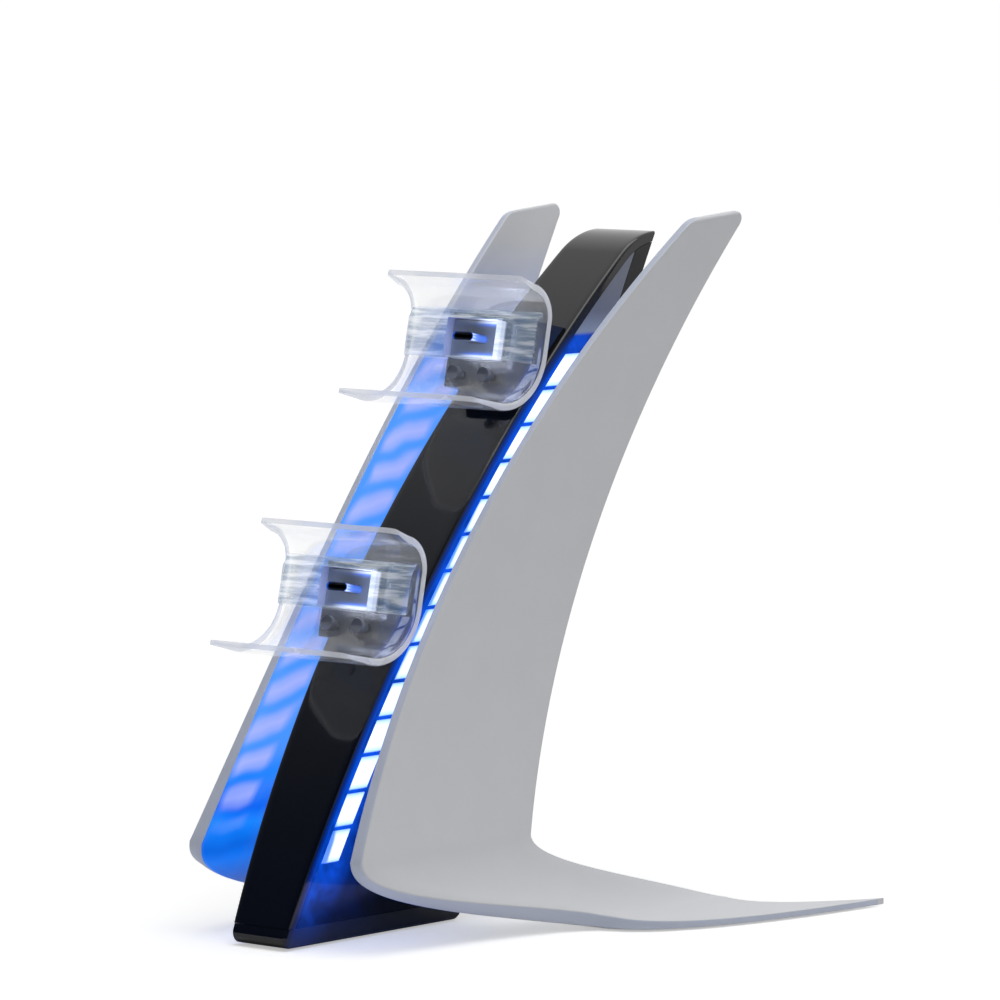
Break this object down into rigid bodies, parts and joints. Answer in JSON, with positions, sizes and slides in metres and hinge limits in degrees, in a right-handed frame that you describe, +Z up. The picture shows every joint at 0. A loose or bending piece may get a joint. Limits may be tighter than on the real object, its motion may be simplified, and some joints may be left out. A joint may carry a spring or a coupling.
{
  "type": "controller charging dock",
  "caption": "Leaning charging column between two white winged feet, with lit sides and clear cradles, one above the other, that each hold a game controller on a USB-C plug.",
  "frame": {"origin": "middle of the base's underside, on the floor, between the left and right sides", "axes": "+Z up, -Y towards the user (the cradles and plugs face -Y), +X to the user's right"},
  "size_m": [0.183, 0.1874, 0.2146],
  "materials": {
    "piano_black": "polished black moulding",
    "black_plastic": "fine matt black moulding",
    "smoked_plastic": "smoked see-through moulding",
    "light_diffuser": "milky diffuser lit blue-white",
    "circuit_board": "solder mask on laminate",
    "white_plastic": "satin white moulding",
    "clear_plastic": "clear polished moulding",
    "pale_plastic": "pale translucent moulding",
    "plated_steel": "nickel-plated drawn steel",
    "contact_plastic": "black contact moulding",
    "screw_steel": "dark plated steel",
    "dark_lens": "dark see-through lens",
    "ballast_steel": "plain steel block",
    "rubber": "matt rubber sheet"
  },
  "bodies": {
    "root": {"front_cover": "piano_black", "rear_cover": "black_plastic", "left_side_panel": "smoked_plastic", "right_side_panel": "smoked_plastic", "left_light_bar": "light_diffuser", "right_light_bar": "light_diffuser", "left_led_board": "circuit_board", "right_led_board": "circuit_board", "left_wing": "white_plastic", "right_wing": "white_plastic", "upper_cradle": "clear_plastic", "lower_cradle": "clear_plastic", "upper_bracket": "piano_black", "lower_bracket": "piano_black", "upper_plug_body": "pale_plastic", "lower_plug_body": "pale_plastic", "upper_plug_shell": "plated_steel", "lower_plug_shell": "plated_steel", "upper_plug_core": "contact_plastic", "lower_plug_core": "contact_plastic", "cradle_screws": "screw_steel", "indicator_lens": "dark_lens", "base_tray": "piano_black", "chassis": "black_plastic", "main_board": "circuit_board", "power_inlet": "plated_steel", "inlet_tongue": "contact_plastic", "ballast": "ballast_steel", "base_pad": "rubber", "foot_pads": "rubber", "wing_screws": "screw_steel", "base_screws": "screw_steel"}
  },
  "joints": []
}
